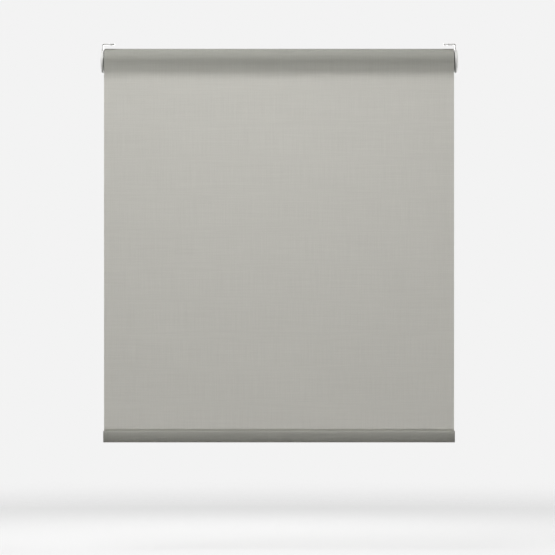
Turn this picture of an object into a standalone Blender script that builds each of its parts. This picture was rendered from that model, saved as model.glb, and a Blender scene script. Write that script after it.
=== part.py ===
"""Cordless spring roller blind for a window recess, hanging from two top-fixed end brackets.

Metres, +Z up. X runs along the roll, the room is at -Y and the window at +Y. The origin is in the plane of
the recess head, midway between the two ends of the cloth. The cloth comes off the room side of the roll.
"""

import math

import bmesh
import bpy
from mathutils import Matrix, Vector

# ---- driving dimensions --------------------------------------------------------------------------
CLOTH_WIDTH = 0.700
CLOTH_THICKNESS = 0.0005
BLIND_DROP = 0.798  # recess head to the bottom edge of the hem
AXIS_DROP = 0.0335  # recess head to the roll's axis
FIT_GAP = 0.0003  # between pieces that touch
RUNNING_GAP = 0.0003  # round a shaft that turns in its bore
END_GAP = 0.0020  # cloth edge to the end cover

TUBE_RADIUS = 0.0215
TUBE_WALL = 0.0012
WRAPS_ON_TUBE = 4
GROOVE_HALF_WIDTH = 0.0022
GROOVE_DEPTH = 0.0032

HEM_HEIGHT = 0.027
HEM_THICKNESS = 0.0062
HEM_CLOTH_WALL = 0.0006
HEM_WELD_BAND = 0.0035  # where the pocket's two layers are welded together, above the bar
HEM_BAR_CLEARANCE = 0.00045
HEM_CAP_FLANGE = 0.0012
HEM_CAP_SPIGOT = 0.009

COVER_RADIUS = 0.024
COVER_RIM = 0.0025
COVER_WALL = 0.0012
PIN_COVER_BULGE = 0.0035
SPRING_COVER_BULGE = 0.0045

PLATE_THICKNESS = 0.0015
PLATE_INSET = 0.0004  # bracket plate behind the cover's open face
PLATE_SEAT_GAP = 0.0004
BEND_RADIUS = 0.0012
NECK_HALF_WIDTH = 0.012
FLANGE_LENGTH = 0.024
FLANGE_HALF_WIDTH = 0.018
FLANGE_CORNER = 0.005
SCREW_HOLE_RADIUS = 0.00225
SCREW_HOLE_SPREAD = 0.011  # each hole from the middle of the flange
COUNTERSINK_RADIUS = 0.0034

PLUG_FLANGE = 0.0011
PLUG_LENGTH = 0.0225
PLUG_WEB = 0.006
PLUG_RIM = 0.0055
HUB_WALL = 0.0032

JOURNAL_RADIUS = 0.005
SPINDLE_REACH = 0.047  # how far the journal runs in from the bracket plate
TONGUE_HEIGHT = 0.0076
TONGUE_THICKNESS = 0.0030
TONGUE_REACH = 0.0021  # past the outer face of the bracket plate
ROD_RADIUS = 0.003
ROD_SOCKET = 0.020
ROD_LENGTH = 0.213
CLIP_THICKNESS = 0.0008
CLIP_GROOVE_DEPTH = 0.0006
CLIP_RADIUS = 0.005
CLIP_FROM_ROD_END = 0.004

SPRING_WIRE_RADIUS = 0.0008
SPRING_NOSE_RADIUS = 0.0089
SPRING_TURNS = 30
NOSE_LENGTH = 0.012
ANCHOR_RADIUS = 0.012
ANCHOR_LENGTH = 0.0125
CARRIER_LENGTH = 0.014

DRUM_WALL = 0.0017
DRUM_LENGTH = 0.016
DRUM_FROM_PLUG = 0.004
BRAKE_WIRE_RADIUS = 0.0006
BRAKE_TURNS = 5

PIN_RADIUS = 0.003
PIN_REACH = 0.0021  # past the outer face of the bracket plate
PIN_COLLAR_RADIUS = 0.005
PIN_COLLAR_LENGTH = 0.0025
PIN_TAIL_RADIUS = 0.0022
PIN_TAIL_LENGTH = 0.007
PIN_TRAVEL = 0.008  # enough to draw its tip out of the bush
PIN_SPRING_WIRE_RADIUS = 0.00035
PIN_SPRING_TURNS = 7
PIN_SPRING_SPARE = 0.0055  # of the spring's length, left when the pin is pushed right in
RETAINER_LENGTH = 0.0027
BUSH_WALL = 0.0017
BUSH_FLANGE_RADIUS = 0.0065
BUSH_FLANGE_LENGTH = 0.0008

ROUND_SEGMENTS = 64
SMALL_SEGMENTS = 32
ROLL_SEGMENTS = 96
HEM_SEGMENTS = 40
DOME_STEPS = 7

# ---- sizes that follow ---------------------------------------------------------------------------
CLOTH_END = CLOTH_WIDTH / 2
ROLL_RADIUS = TUBE_RADIUS + WRAPS_ON_TUBE * CLOTH_THICKNESS
TUBE_BORE = TUBE_RADIUS - TUBE_WALL
GROOVE_FLOOR = TUBE_RADIUS - GROOVE_DEPTH
KEY_HALF_WIDTH = GROOVE_HALF_WIDTH + TUBE_WALL
KEY_FLOOR = GROOVE_FLOOR - TUBE_WALL
PLUG_RADIUS = TUBE_BORE - FIT_GAP
PLUG_KEY_HALF_WIDTH = KEY_HALF_WIDTH + FIT_GAP
PLUG_KEY_FLOOR = KEY_FLOOR - FIT_GAP
PLUG_RECESS_RADIUS = PLUG_KEY_FLOOR - TUBE_WALL

COVER_FACE = CLOTH_END + END_GAP
PLATE_INNER = COVER_FACE + PLATE_INSET
PLATE_OUTER = PLATE_INNER + PLATE_THICKNESS
PLATE_RADIUS = COVER_RADIUS - COVER_WALL - PLATE_SEAT_GAP

PLUG_END = CLOTH_END - PLUG_LENGTH
JOURNAL_OUTER_END = PLATE_INNER - FIT_GAP
JOURNAL_INNER_END = PLATE_INNER - SPINDLE_REACH
ROD_OUTER_END = JOURNAL_INNER_END + ROD_SOCKET - FIT_GAP
ROD_INNER_END = ROD_OUTER_END - ROD_LENGTH
CLIP_MIDDLE = ROD_INNER_END + CLIP_FROM_ROD_END + CLIP_THICKNESS / 2
DRUM_RADIUS = JOURNAL_RADIUS + FIT_GAP + DRUM_WALL
DRUM_OUTER_END = PLUG_END - DRUM_FROM_PLUG
ANCHOR_OUTER_END = JOURNAL_INNER_END - FIT_GAP
ANCHOR_INNER_END = ANCHOR_OUTER_END - ANCHOR_LENGTH
CARRIER_INNER_END = CLIP_MIDDLE + CLIP_THICKNESS / 2 + FIT_GAP
CARRIER_OUTER_END = CARRIER_INNER_END + CARRIER_LENGTH

PIN_WALL_END = CLOTH_END - PLUG_WEB  # inner side of the wall that the pin's collar stops on
PIN_CAVITY_RADIUS = PIN_COLLAR_RADIUS + RUNNING_GAP
PIN_COLLAR_OUTER = PIN_WALL_END - FIT_GAP
PIN_COLLAR_INNER = PIN_COLLAR_OUTER - PIN_COLLAR_LENGTH
PIN_SPRING_LENGTH = PIN_TAIL_LENGTH + PIN_TRAVEL + PIN_SPRING_SPARE
PIN_SPRING_OUTER = PIN_COLLAR_INNER - FIT_GAP - PIN_SPRING_WIRE_RADIUS
PIN_SPRING_INNER = PIN_SPRING_OUTER - PIN_SPRING_LENGTH
RETAINER_OUTER = PIN_SPRING_INNER - FIT_GAP - PIN_SPRING_WIRE_RADIUS
RETAINER_INNER = RETAINER_OUTER - RETAINER_LENGTH

HANG_Y = -(ROLL_RADIUS + FIT_GAP + CLOTH_THICKNESS / 2)
HEM_LOBE_HEIGHT = HEM_HEIGHT - HEM_WELD_BAND
HEM_LOBE_Z = -BLIND_DROP + HEM_LOBE_HEIGHT / 2  # middle of the part that holds the bar
HEM_TOP_Z = -BLIND_DROP + HEM_HEIGHT

LEFT, RIGHT = -1, 1


# ---- building blocks -----------------------------------------------------------------------------
def clear_scene():
    for old in list(bpy.data.objects):
        bpy.data.objects.remove(old, do_unlink=True)


def make_material(name, colour, roughness, metallic=0.0):
    material = bpy.data.materials.new(name)
    material.use_nodes = True
    surface = material.node_tree.nodes["Principled BSDF"]
    surface.inputs["Base Color"].default_value = (*colour, 1.0)
    surface.inputs["Roughness"].default_value = roughness
    surface.inputs["Metallic"].default_value = metallic
    return material


def make_empty(name, location):
    empty = bpy.data.objects.new(name, None)
    empty.location = location
    bpy.context.scene.collection.objects.link(empty)
    return empty


def place(name, data, material, parent):
    """A new object whose mesh or curve is drawn in its parent's frame."""
    obj = bpy.data.objects.new(name, data)
    bpy.context.scene.collection.objects.link(obj)
    obj.parent = parent
    if material is not None:
        data.materials.append(material)
    return obj


def circle(radius, count=ROUND_SEGMENTS):
    """Points (y, z) round the axis, first one just past the top."""
    turns = [(step + 0.5) / count * math.tau for step in range(count)]
    return [(radius * math.sin(turn), radius * math.cos(turn)) for turn in turns]


def keyed_circle(radius, half_width, floor_radius):
    """A circle with a square notch at its top. Point for point it pairs with plain_for_key."""
    start = math.asin(half_width / radius)
    sweep = math.tau - 2 * start
    turns = [start + sweep * step / (ROUND_SEGMENTS - 1) for step in range(ROUND_SEGMENTS)]
    points = [(radius * math.sin(turn), radius * math.cos(turn)) for turn in turns]
    return points + [(-half_width, floor_radius), (half_width, floor_radius)]


def plain_for_key(radius):
    """A plain circle with as many points as keyed_circle, the last two under its notch."""
    start = PLUG_KEY_HALF_WIDTH / PLUG_RADIUS
    sweep = math.tau - 2 * start
    turns = [start + sweep * step / (ROUND_SEGMENTS - 1) for step in range(ROUND_SEGMENTS)]
    turns += [math.tau - start / 3, math.tau + start / 3]
    return [(radius * math.sin(turn), radius * math.cos(turn)) for turn in turns]


def hem_lobe(inset):
    """The oval outline (y, z) of the part of the hem that holds the bar, brought in by inset."""
    half_thickness = HEM_THICKNESS / 2 - inset
    half_height = HEM_LOBE_HEIGHT / 2 - inset
    return [(half_thickness * y, half_height * z) for y, z in circle(1, HEM_SEGMENTS)]


def lofted_mesh(name, loops, ring, side=RIGHT):
    """Bridges loops of (y, z) points, each at its own x. A ring joins last to first; else both are capped."""
    bm = bmesh.new()
    rows = [[bm.verts.new((side * x, y, z)) for y, z in points] for x, points in loops]
    pairs = list(zip(rows, rows[1:]))
    if ring:
        pairs.append((rows[-1], rows[0]))
    else:
        bm.faces.new(rows[0])
        bm.faces.new(rows[-1])
    for first, second in pairs:
        for at in range(len(first)):
            after = (at + 1) % len(first)
            bm.faces.new((first[at], first[after], second[after], second[at]))
    bmesh.ops.recalc_face_normals(bm, faces=bm.faces)
    mesh = bpy.data.meshes.new(name)
    bm.to_mesh(mesh)
    bm.free()
    return mesh


def smooth(mesh):
    mesh.shade_smooth()
    mesh.set_sharp_from_angle(angle=math.radians(35))
    return mesh


def lofted(name, loops, material, parent, ring=True, side=RIGHT):
    return place(name, smooth(lofted_mesh(name, loops, ring, side)), material, parent)


def turned(name, profile, material, parent, ring=True, side=RIGHT, count=SMALL_SEGMENTS):
    """A profile of (x, radius) turned about the axis."""
    loops = [(x, circle(radius, count)) for x, radius in profile]
    return lofted(name, loops, material, parent, ring, side)


def prism_mesh(name, outline, direction, length):
    """Extrudes a closed outline of 3D points along direction."""
    bm = bmesh.new()
    face = bm.faces.new([bm.verts.new(point) for point in outline])
    grown = bmesh.ops.extrude_face_region(bm, geom=[face])
    moved = [item for item in grown["geom"] if isinstance(item, bmesh.types.BMVert)]
    bmesh.ops.translate(bm, verts=moved, vec=Vector(direction) * length)
    bmesh.ops.recalc_face_normals(bm, faces=bm.faces)
    mesh = bpy.data.meshes.new(name)
    bm.to_mesh(mesh)
    bm.free()
    return mesh


def box_mesh(name, low, high):
    corners = ((low[0], low[1]), (high[0], low[1]), (high[0], high[1]), (low[0], high[1]))
    return prism_mesh(name, [(x, y, low[2]) for x, y in corners], (0, 0, 1), high[2] - low[2])


def shape_with(target, operation, mesh):
    """Cuts, joins or keeps what is common, with a hidden tool object in the target's frame."""
    tool = place(f"{target.name}_tool_{len(target.modifiers) + 1}", mesh, None, target.parent)
    tool.hide_render = True
    tool.display_type = "WIRE"
    boolean = target.modifiers.new(operation.lower(), "BOOLEAN")
    boolean.operation = operation
    boolean.object = tool


def coil(name, bore_radius, wire_radius, start_x, end_x, turns, material, parent, tang_x=None, steps=12):
    """A wire wound about the axis clear of bore_radius, with an optional straight tang at its last end."""
    radius = (bore_radius + wire_radius) / math.cos(math.pi / steps)
    count = turns * steps
    points = []
    for step in range(count + 1):
        turn = step / steps * math.tau
        x = start_x + (end_x - start_x) * step / count
        points.append((x, radius * math.sin(turn), radius * math.cos(turn)))
    if tang_x is not None:
        points.append((tang_x, points[-1][1], points[-1][2]))
    curve = bpy.data.curves.new(name, "CURVE")
    curve.dimensions = "3D"
    curve.bevel_depth = wire_radius
    curve.bevel_resolution = 1
    curve.use_fill_caps = True
    spline = curve.splines.new("POLY")
    spline.points.add(len(points) - 1)
    for point, place_at in zip(spline.points, points):
        point.co = (*place_at, 1.0)
    return place(name, curve, material, parent)


# ---- the roll ------------------------------------------------------------------------------------
def build_tube(material, parent):
    outer = keyed_circle(TUBE_RADIUS, GROOVE_HALF_WIDTH, GROOVE_FLOOR)
    inner = keyed_circle(TUBE_BORE, KEY_HALF_WIDTH, KEY_FLOOR)
    loops = [(-CLOTH_END, outer), (CLOTH_END, outer), (CLOTH_END, inner), (-CLOTH_END, inner)]
    lofted("roller_tube", loops, material, parent)


def build_cloth_spline(material, parent):
    """The strip that holds the cloth's top edge in the tube's groove."""
    half = GROOVE_HALF_WIDTH - FIT_GAP
    low = (-CLOTH_END + FIT_GAP, -half, GROOVE_FLOOR + FIT_GAP)
    high = (CLOTH_END - FIT_GAP, half, TUBE_RADIUS - FIT_GAP)
    place("cloth_spline", box_mesh("cloth_spline", low, high), material, parent)


def build_cloth_roll(material, parent):
    inner = TUBE_RADIUS + FIT_GAP
    profile = [(-CLOTH_END, ROLL_RADIUS), (CLOTH_END, ROLL_RADIUS), (CLOTH_END, inner), (-CLOTH_END, inner)]
    turned("cloth_roll", profile, material, parent, count=ROLL_SEGMENTS)


def plug_outside():
    """Flange outside the tube end, then the keyed body inside the tube and its recess up to the hub."""
    flange_out = CLOTH_END + FIT_GAP + PLUG_FLANGE
    flange_in = CLOTH_END + FIT_GAP
    body = keyed_circle(PLUG_RADIUS, PLUG_KEY_HALF_WIDTH, PLUG_KEY_FLOOR)
    recess = plain_for_key(PLUG_RECESS_RADIUS)
    recess_floor = CLOTH_END - PLUG_RIM
    disc = plain_for_key(TUBE_RADIUS)
    return [
        (flange_out, disc),
        (flange_in, disc),
        (flange_in, body),
        (PLUG_END, body),
        (PLUG_END, recess),
        (recess_floor, recess),
    ]


def build_spring_end_plug(material, parent):
    bore = JOURNAL_RADIUS + RUNNING_GAP
    hub = plain_for_key(bore + HUB_WALL)
    bore_circle = plain_for_key(bore)
    outside = plug_outside()
    inside = [(outside[-1][0], hub), (PLUG_END, hub), (PLUG_END, bore_circle), (outside[0][0], bore_circle)]
    lofted("spring_end_plug", outside + inside, material, parent)


def build_pin_end_plug(material, parent):
    hub = plain_for_key(PIN_CAVITY_RADIUS + HUB_WALL)
    cavity = plain_for_key(PIN_CAVITY_RADIUS)
    bore = plain_for_key(PIN_RADIUS + RUNNING_GAP)
    outside = plug_outside()
    inside = [
        (outside[-1][0], hub),
        (RETAINER_INNER, hub),
        (RETAINER_INNER, cavity),
        (PIN_WALL_END, cavity),
        (PIN_WALL_END, bore),
        (outside[0][0], bore),
    ]
    lofted("pin_end_plug", outside + inside, material, parent, side=LEFT)


def build_pin_spring_retainer(material, parent):
    radius = PIN_CAVITY_RADIUS - FIT_GAP
    profile = [(RETAINER_OUTER, radius), (RETAINER_INNER, radius)]
    turned("pin_spring_retainer", profile, material, parent, ring=False, side=LEFT)


def build_spring_carrier(material, parent):
    """Turns with the tube, carries the free end of the rod and winds the spring."""
    body = keyed_circle(PLUG_RADIUS, PLUG_KEY_HALF_WIDTH, PLUG_KEY_FLOOR)
    nose = plain_for_key(SPRING_NOSE_RADIUS)
    bore = plain_for_key(ROD_RADIUS + RUNNING_GAP)
    nose_end = CARRIER_OUTER_END + NOSE_LENGTH
    loops = [
        (CARRIER_INNER_END, body),
        (CARRIER_OUTER_END, body),
        (CARRIER_OUTER_END, nose),
        (nose_end, nose),
        (nose_end, bore),
        (CARRIER_INNER_END, bore),
    ]
    lofted("spring_carrier", loops, material, parent)


def build_brake_spring(material, parent):
    margin = 2 * BRAKE_WIRE_RADIUS
    ends = (DRUM_OUTER_END - DRUM_LENGTH + margin, DRUM_OUTER_END - margin)
    tang = PLUG_END - FIT_GAP
    bore = DRUM_RADIUS + RUNNING_GAP
    coil("brake_spring", bore, BRAKE_WIRE_RADIUS, *ends, BRAKE_TURNS, material, parent, tang_x=tang, steps=16)


# ---- what stays still on the axis ----------------------------------------------------------------
def build_spindle(material, parent):
    bore = ROD_RADIUS + FIT_GAP
    profile = [
        (JOURNAL_INNER_END + ROD_SOCKET, bore),
        (JOURNAL_INNER_END, bore),
        (JOURNAL_INNER_END, JOURNAL_RADIUS),
        (JOURNAL_OUTER_END, JOURNAL_RADIUS),
    ]
    spindle = turned("spring_spindle", profile, material, parent, ring=False)
    root = JOURNAL_OUTER_END - JOURNAL_RADIUS
    low = (root, -TONGUE_THICKNESS / 2, -TONGUE_HEIGHT / 2)
    high = (PLATE_OUTER + TONGUE_REACH, TONGUE_THICKNESS / 2, TONGUE_HEIGHT / 2)
    shape_with(spindle, "UNION", box_mesh("spring_spindle_tongue", low, high))


def build_spring_rod(material, parent):
    groove = ROD_RADIUS - CLIP_GROOVE_DEPTH
    groove_half = CLIP_THICKNESS / 2 + FIT_GAP
    profile = [
        (ROD_INNER_END, ROD_RADIUS),
        (CLIP_MIDDLE - groove_half, ROD_RADIUS),
        (CLIP_MIDDLE - groove_half, groove),
        (CLIP_MIDDLE + groove_half, groove),
        (CLIP_MIDDLE + groove_half, ROD_RADIUS),
        (ROD_OUTER_END, ROD_RADIUS),
    ]
    turned("spring_rod", profile, material, parent, ring=False)


def build_rod_clip(material, parent):
    bore = ROD_RADIUS - CLIP_GROOVE_DEPTH + FIT_GAP
    low, high = CLIP_MIDDLE - CLIP_THICKNESS / 2, CLIP_MIDDLE + CLIP_THICKNESS / 2
    profile = [(low, CLIP_RADIUS), (high, CLIP_RADIUS), (high, bore), (low, bore)]
    clip = turned("rod_clip", profile, material, parent)
    mouth_low = (low - CLIP_THICKNESS, -bore * 0.7, -2 * CLIP_RADIUS)
    mouth_high = (high + CLIP_THICKNESS, bore * 0.7, 0)
    shape_with(clip, "DIFFERENCE", box_mesh("rod_clip_mouth", mouth_low, mouth_high))


def build_spring_anchor(material, parent):
    bore = ROD_RADIUS + FIT_GAP
    nose_end = ANCHOR_INNER_END - NOSE_LENGTH
    profile = [
        (ANCHOR_OUTER_END, ANCHOR_RADIUS),
        (ANCHOR_INNER_END, ANCHOR_RADIUS),
        (ANCHOR_INNER_END, SPRING_NOSE_RADIUS),
        (nose_end, SPRING_NOSE_RADIUS),
        (nose_end, bore),
        (ANCHOR_OUTER_END, bore),
    ]
    turned("spring_anchor", profile, material, parent)


def build_lift_spring(material, parent):
    margin = FIT_GAP + 2 * SPRING_WIRE_RADIUS
    start, end = ANCHOR_INNER_END - margin, CARRIER_OUTER_END + margin
    bore = SPRING_NOSE_RADIUS + FIT_GAP
    coil("lift_spring", bore, SPRING_WIRE_RADIUS, start, end, SPRING_TURNS, material, parent)


def build_brake_drum(material, parent):
    bore = JOURNAL_RADIUS + FIT_GAP
    low, high = DRUM_OUTER_END - DRUM_LENGTH, DRUM_OUTER_END
    profile = [(low, DRUM_RADIUS), (high, DRUM_RADIUS), (high, bore), (low, bore)]
    turned("brake_drum", profile, material, parent)


# ---- the sprung pin ------------------------------------------------------------------------------
def build_pin(material, parent):
    tip = PLATE_OUTER + PIN_REACH
    chamfer = PIN_RADIUS / 4
    profile = [
        (tip, PIN_RADIUS - chamfer),
        (tip - chamfer, PIN_RADIUS),
        (PIN_COLLAR_OUTER, PIN_RADIUS),
        (PIN_COLLAR_OUTER, PIN_COLLAR_RADIUS),
        (PIN_COLLAR_INNER, PIN_COLLAR_RADIUS),
        (PIN_COLLAR_INNER, PIN_TAIL_RADIUS),
        (PIN_COLLAR_INNER - PIN_TAIL_LENGTH, PIN_TAIL_RADIUS),
    ]
    turned("bracket_pin", profile, material, parent, ring=False, side=LEFT)


def build_pin_spring(material, parent):
    bore = (PIN_TAIL_RADIUS + PIN_CAVITY_RADIUS) / 2 - PIN_SPRING_WIRE_RADIUS
    ends = (-PIN_SPRING_OUTER, -PIN_SPRING_INNER)
    coil("pin_spring", bore, PIN_SPRING_WIRE_RADIUS, *ends, PIN_SPRING_TURNS, material, parent)


# ---- brackets and covers -------------------------------------------------------------------------
def bracket_strip(side):
    """The bent steel strip seen from the front: flange on top, plate going down, with a bend radius."""
    inner_bend, outer_bend = BEND_RADIUS, BEND_RADIUS + PLATE_THICKNESS
    bend_x, bend_z = PLATE_OUTER - outer_bend, -outer_bend
    bottom_z = -AXIS_DROP - PLATE_RADIUS - PLATE_THICKNESS
    tip_x = PLATE_OUTER - FLANGE_LENGTH
    turns = [step / 6 * math.pi / 2 for step in range(7)]
    outside = [(bend_x + outer_bend * math.sin(turn), bend_z + outer_bend * math.cos(turn)) for turn in turns]
    inside = [(bend_x + inner_bend * math.sin(turn), bend_z + inner_bend * math.cos(turn)) for turn in turns]
    outline = [(tip_x, 0)] + outside
    outline += [(PLATE_OUTER, bottom_z), (PLATE_INNER, bottom_z)]
    outline += inside[::-1]
    outline += [(tip_x, -PLATE_THICKNESS)]
    return [(side * x, -FLANGE_HALF_WIDTH, z) for x, z in outline]


def bracket_outline(x):
    """The bracket seen from its end: flange width, neck, then a disc round the roll's axis."""
    shoulder_z = -BEND_RADIUS - 2 * PLATE_THICKNESS
    neck_turn = math.asin(NECK_HALF_WIDTH / PLATE_RADIUS)
    steps = 40
    turns = [neck_turn + (math.tau - 2 * neck_turn) * step / steps for step in range(steps + 1)]
    above = PLATE_THICKNESS
    side_y = FLANGE_HALF_WIDTH + above
    neck_z = shoulder_z - (side_y - NECK_HALF_WIDTH) / 4
    outline = [(side_y, above), (side_y, shoulder_z), (NECK_HALF_WIDTH, neck_z)]
    outline += [(PLATE_RADIUS * math.sin(turn), -AXIS_DROP + PLATE_RADIUS * math.cos(turn)) for turn in turns]
    outline += [(-y, z) for y, z in reversed(outline[:3])]
    return [(x, y, z) for y, z in outline]


def round_cutter(name, middle, radius, length, along="Z", end_radius=None):
    """A round bar along Z or X, centred on middle, or a cone where its other end has another radius."""
    bm = bmesh.new()
    turn = Matrix.Rotation(math.radians(90), 4, "Y") if along == "X" else Matrix.Identity(4)
    ends = {"radius1": radius, "radius2": radius if end_radius is None else end_radius}
    where = Matrix.Translation(middle) @ turn
    bmesh.ops.create_cone(bm, cap_ends=True, segments=SMALL_SEGMENTS, depth=length, matrix=where, **ends)
    mesh = bpy.data.meshes.new(name)
    bm.to_mesh(mesh)
    bm.free()
    return mesh


def round_flange_corners(mesh):
    bm = bmesh.new()
    bm.from_mesh(mesh)
    tip = PLATE_OUTER - FLANGE_LENGTH
    upright = [edge for edge in bm.edges if all(abs(abs(v.co.x) - tip) < FIT_GAP for v in edge.verts)]
    corners = [edge for edge in upright if abs(edge.verts[0].co.y - edge.verts[1].co.y) < FIT_GAP]
    bmesh.ops.bevel(bm, geom=corners, offset=FLANGE_CORNER, segments=6, profile=0.5, affect="EDGES")
    bm.to_mesh(mesh)
    bm.free()
    return mesh


def build_bracket(name, side, material, parent):
    strip = prism_mesh(name, bracket_strip(side), (0, 1, 0), 2 * FLANGE_HALF_WIDTH)
    bracket = place(name, round_flange_corners(strip), material, parent)
    outline = bracket_outline(side * (PLATE_OUTER - FLANGE_LENGTH - PLATE_THICKNESS))
    keep = prism_mesh(f"{name}_outline", outline, (side, 0, 0), FLANGE_LENGTH + 2 * PLATE_THICKNESS)
    shape_with(bracket, "INTERSECT", keep)
    hole_x = side * (PLATE_INNER - FLANGE_LENGTH / 2)
    for hole_y in (-SCREW_HOLE_SPREAD, SCREW_HOLE_SPREAD):
        middle = (hole_x, hole_y, -PLATE_THICKNESS / 2)
        hole = round_cutter(f"{name}_hole", middle, SCREW_HOLE_RADIUS, 4 * PLATE_THICKNESS)
        shape_with(bracket, "DIFFERENCE", hole)
        below = (hole_x, hole_y, -PLATE_THICKNESS)
        wide = 2 * COUNTERSINK_RADIUS - SCREW_HOLE_RADIUS  # a cone that is half below the plate's lower face
        sink = round_cutter(f"{name}_sink", below, wide, PLATE_THICKNESS, end_radius=SCREW_HOLE_RADIUS)
        shape_with(bracket, "DIFFERENCE", sink)
    return bracket


def cut_tongue_slot(bracket):
    half_y = TONGUE_THICKNESS / 2 + FIT_GAP
    half_z = TONGUE_HEIGHT / 2 + FIT_GAP
    low = (PLATE_INNER - PLATE_THICKNESS, -half_y, -AXIS_DROP - half_z)
    high = (PLATE_OUTER + PLATE_THICKNESS, half_y, -AXIS_DROP + half_z)
    shape_with(bracket, "DIFFERENCE", box_mesh("tongue_slot", low, high))


def cut_bush_hole(bracket):
    middle = (-(PLATE_INNER + PLATE_OUTER) / 2, 0, -AXIS_DROP)
    radius = PIN_RADIUS + RUNNING_GAP + BUSH_WALL + FIT_GAP
    hole = round_cutter("bush_hole", middle, radius, 4 * PLATE_THICKNESS, along="X")
    shape_with(bracket, "DIFFERENCE", hole)


def build_pin_bush(material, parent):
    bore = PIN_RADIUS + RUNNING_GAP
    body = bore + BUSH_WALL
    flange_inner = PLATE_OUTER + FIT_GAP
    flange_outer = flange_inner + BUSH_FLANGE_LENGTH
    profile = [
        (PLATE_INNER, body),
        (flange_inner, body),
        (flange_inner, BUSH_FLANGE_RADIUS),
        (flange_outer, BUSH_FLANGE_RADIUS),
        (flange_outer, bore),
        (PLATE_INNER, bore),
    ]
    turned("pin_bush", profile, material, parent, side=LEFT)


def dome(base, bulge, radius):
    """Points (x, radius) of a shallow dome from its rim nearly to its pole."""
    turns = [step / DOME_STEPS * math.radians(87) for step in range(DOME_STEPS + 1)]
    return [(base + bulge * math.sin(turn), radius * math.cos(turn)) for turn in turns]


def build_cover(name, side, bulge, material, parent):
    """A thin domed cap over the bracket's disc, open towards the roll, with a slot for the bracket's neck."""
    inner = dome(COVER_FACE + COVER_RIM, bulge - COVER_WALL, COVER_RADIUS - COVER_WALL)
    outer = dome(COVER_FACE + COVER_RIM, bulge, COVER_RADIUS)
    rim = [(COVER_FACE, COVER_RADIUS - COVER_WALL), (COVER_FACE, COVER_RADIUS)]
    profile = inner[::-1] + rim + outer
    cover = turned(name, profile, material, parent, ring=False, side=side, count=ROUND_SEGMENTS)
    half = NECK_HALF_WIDTH + FIT_GAP
    ends = sorted((side * (COVER_FACE - COVER_WALL), side * (PLATE_OUTER + FIT_GAP)))
    low = (ends[0], -half, COVER_RADIUS / 2)
    high = (ends[1], half, COVER_RADIUS + COVER_WALL)
    shape_with(cover, "DIFFERENCE", box_mesh(f"{name}_slot", low, high))


# ---- cloth and hem -------------------------------------------------------------------------------
def build_hanging_cloth(material, parent):
    bottom = HEM_TOP_Z + FIT_GAP - HEM_LOBE_Z
    low = (-CLOTH_END, -CLOTH_THICKNESS / 2, bottom)
    high = (CLOTH_END, CLOTH_THICKNESS / 2, -AXIS_DROP - HEM_LOBE_Z)
    place("hanging_cloth", box_mesh("hanging_cloth", low, high), material, parent)


def build_hem_pocket(material, parent):
    outer, inner = hem_lobe(0), hem_lobe(HEM_CLOTH_WALL)
    loops = [(-CLOTH_END, outer), (CLOTH_END, outer), (CLOTH_END, inner), (-CLOTH_END, inner)]
    pocket = lofted("hem_pocket", loops, material, parent)
    half_lobe = HEM_LOBE_HEIGHT / 2
    low = (-CLOTH_END, -HEM_CLOTH_WALL, half_lobe - HEM_CLOTH_WALL)
    high = (CLOTH_END, HEM_CLOTH_WALL, half_lobe + HEM_WELD_BAND)
    shape_with(pocket, "UNION", box_mesh("hem_weld_band", low, high))


def build_hem_bar(material, parent):
    bar = hem_lobe(HEM_CLOTH_WALL + HEM_BAR_CLEARANCE)
    end = CLOTH_END - HEM_CAP_SPIGOT - FIT_GAP
    lofted("hem_bar", [(-end, bar), (end, bar)], material, parent, ring=False)


def build_hem_cap(name, side, material, parent):
    flange, spigot = hem_lobe(0), hem_lobe(HEM_CLOTH_WALL + HEM_BAR_CLEARANCE)
    inner = CLOTH_END + FIT_GAP
    spigot_end = CLOTH_END - HEM_CAP_SPIGOT
    loops = [(inner + HEM_CAP_FLANGE, flange), (inner, flange), (inner, spigot), (spigot_end, spigot)]
    lofted(name, loops, material, parent, ring=False, side=side)


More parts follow.
